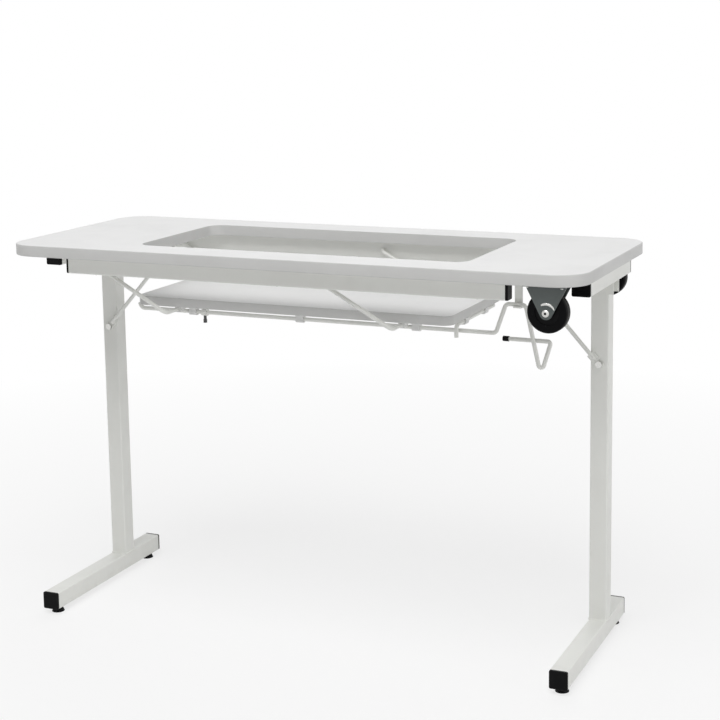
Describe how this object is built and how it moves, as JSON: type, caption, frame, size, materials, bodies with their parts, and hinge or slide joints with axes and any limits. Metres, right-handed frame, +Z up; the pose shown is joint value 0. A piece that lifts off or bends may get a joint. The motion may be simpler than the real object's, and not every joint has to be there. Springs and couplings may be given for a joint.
{
  "type": "folding sewing table",
  "caption": "White folding sewing table with a machine opening, a lowering platform on swinging hangers, a latch rod, folding T-legs with rod braces, and end casters.",
  "frame": {"origin": "on the floor under the middle of the top", "axes": "+X along the top towards the end with the wheels, +Y to the back, +Z up"},
  "size_m": [1.189, 0.47, 0.775],
  "materials": {
    "white_laminate": "white melamine laminate on particle board, fine grain, low sheen",
    "edge_band": "white edge band, satin",
    "white_steel": "white powder coat, slight orange peel",
    "white_plastic": "moulded white plastic",
    "black_plastic": "moulded black plastic, satin",
    "wheel_black": "hard black plastic wheel, glossy tread",
    "fork_steel": "dark grey painted pressed steel",
    "zinc_steel": "bright zinc plate",
    "tip_rubber": "soft black rubber"
  },
  "bodies": {
    "frame": {"table_top": "white_laminate", "top_edge_band": "edge_band", "opening_edge_band": "edge_band", "front_rail": "white_steel", "rear_rail": "white_steel", "rail_end_caps": "black_plastic", "left_bearer": "white_steel", "right_bearer": "white_steel", "bearer_end_caps": "black_plastic", "left_hinge_bracket": "white_steel", "right_hinge_bracket": "white_steel", "left_hinge_bolt": "zinc_steel", "right_hinge_bolt": "zinc_steel", "left_brace_bracket": "white_steel", "right_brace_bracket": "white_steel", "latch_hook": "white_steel", "front_caster_fork": "fork_steel", "rear_caster_fork": "fork_steel", "caster_axles": "zinc_steel", "caster_nuts": "zinc_steel", "frame_screws": "zinc_steel", "bracket_screws": "zinc_steel"},
    "platform": {"platform_board": "white_laminate", "platform_edge_band": "edge_band", "crossbar_saddles": "white_plastic", "latch_saddles": "white_plastic", "keeper_clips": "white_plastic", "platform_screws": "zinc_steel", "keeper_rod": "white_steel"},
    "latch": {"latch_rod": "white_steel", "latch_tip": "tip_rubber", "latch_collar": "white_steel", "latch_collar_screw": "zinc_steel"},
    "front_wheel": {"front_caster_tyre": "wheel_black", "front_caster_hub": "black_plastic"},
    "rear_wheel": {"rear_caster_tyre": "wheel_black", "rear_caster_hub": "black_plastic"},
    "left_leg": {"left_column": "white_steel", "left_foot": "white_steel", "left_foot_caps": "black_plastic", "left_glide_nuts": "zinc_steel", "left_brace_stud": "zinc_steel"},
    "left_brace_rod": {"left_brace": "white_steel"},
    "left_hanger": {"left_front_arm": "white_steel", "left_rear_arm": "white_steel", "left_crossbar": "white_steel"},
    "left_front_foot_glide": {"left_front_glide": "black_plastic"},
    "left_rear_foot_glide": {"left_rear_glide": "black_plastic"},
    "right_leg": {"right_column": "white_steel", "right_foot": "white_steel", "right_foot_caps": "black_plastic", "right_glide_nuts": "zinc_steel", "right_brace_stud": "zinc_steel"},
    "right_brace_rod": {"right_brace": "white_steel"},
    "right_hanger": {"right_front_arm": "white_steel", "right_rear_arm": "white_steel", "right_crossbar": "white_steel"},
    "right_front_foot_glide": {"right_front_glide": "black_plastic"},
    "right_rear_foot_glide": {"right_rear_glide": "black_plastic"}
  },
  "joints": [
    {"name": "left_leg_fold", "type": "hinge", "parent": "frame", "child": "left_leg", "pos_m": [-0.533, 0.0735, 0.703], "axis": [0, -1, 0], "range_deg": [0, 90]},
    {"name": "left_brace_swing", "type": "hinge", "parent": "frame", "child": "left_brace_rod", "pos_m": [-0.383, 0.0352, 0.738], "axis": [0, -1, 0], "range_deg": [0, 131.91]},
    {"name": "left_hanger_swing", "type": "hinge", "parent": "frame", "child": "left_hanger", "pos_m": [-0.43255, 0, 0.7355], "axis": [0, -1, 0], "range_deg": [0, 33.11]},
    {"name": "left_front_glide_turn", "type": "hinge", "parent": "left_leg", "child": "left_front_foot_glide", "pos_m": [-0.545, -0.17775, 0.013], "axis": [0, 0, 1], "continuous": true},
    {"name": "left_rear_glide_turn", "type": "hinge", "parent": "left_leg", "child": "left_rear_foot_glide", "pos_m": [-0.545, 0.17025, 0.013], "axis": [0, 0, 1], "continuous": true},
    {"name": "right_leg_fold", "type": "hinge", "parent": "frame", "child": "right_leg", "pos_m": [0.533, 0.0735, 0.703], "axis": [0, 1, 0], "range_deg": [0, 72]},
    {"name": "right_brace_swing", "type": "hinge", "parent": "frame", "child": "right_brace_rod", "pos_m": [0.383, 0.0352, 0.738], "axis": [0, 1, 0], "range_deg": [0, 131.91]},
    {"name": "right_hanger_swing", "type": "hinge", "parent": "frame", "child": "right_hanger", "pos_m": [0.04845, 0, 0.7355], "axis": [0, -1, 0], "range_deg": [0, 33.11]},
    {"name": "right_front_glide_turn", "type": "hinge", "parent": "right_leg", "child": "right_front_foot_glide", "pos_m": [0.545, -0.17775, 0.013], "axis": [0, 0, 1], "continuous": true},
    {"name": "right_rear_glide_turn", "type": "hinge", "parent": "right_leg", "child": "right_rear_foot_glide", "pos_m": [0.545, 0.17025, 0.013], "axis": [0, 0, 1], "continuous": true},
    {"name": "platform_level", "type": "hinge", "parent": "left_hanger", "child": "platform", "pos_m": [-0.26918, 0, 0.6445], "axis": [0, -1, 0], "range_deg": [-33.11, 0]},
    {"name": "latch_turn", "type": "hinge", "parent": "platform", "child": "latch", "pos_m": [-0.01518, -0.086, 0.6345], "axis": [1, 0, 0], "range_deg": [0, 85]},
    {"name": "front_wheel_roll", "type": "hinge", "parent": "frame", "child": "front_wheel", "pos_m": [0.523, -0.195, 0.703], "axis": [0, 1, 0], "continuous": true},
    {"name": "rear_wheel_roll", "type": "hinge", "parent": "frame", "child": "rear_wheel", "pos_m": [0.523, 0.195, 0.703], "axis": [0, 1, 0], "continuous": true}
  ],
  "couplings": [
    {"joint": "left_brace_swing", "follows": "left_leg_fold", "ratio": 1.4656},
    {"joint": "left_hanger_swing", "follows": "left_leg_fold", "ratio": 0.36784},
    {"joint": "right_brace_swing", "follows": "left_leg_fold", "ratio": 1.4656},
    {"joint": "right_hanger_swing", "follows": "left_leg_fold", "ratio": 0.36784},
    {"joint": "right_leg_fold", "follows": "left_leg_fold", "ratio": 0.8},
    {"joint": "platform_level", "follows": "left_leg_fold", "ratio": -0.36784},
    {"joint": "latch_turn", "follows": "left_leg_fold", "ratio": 0.94444}
  ]
}
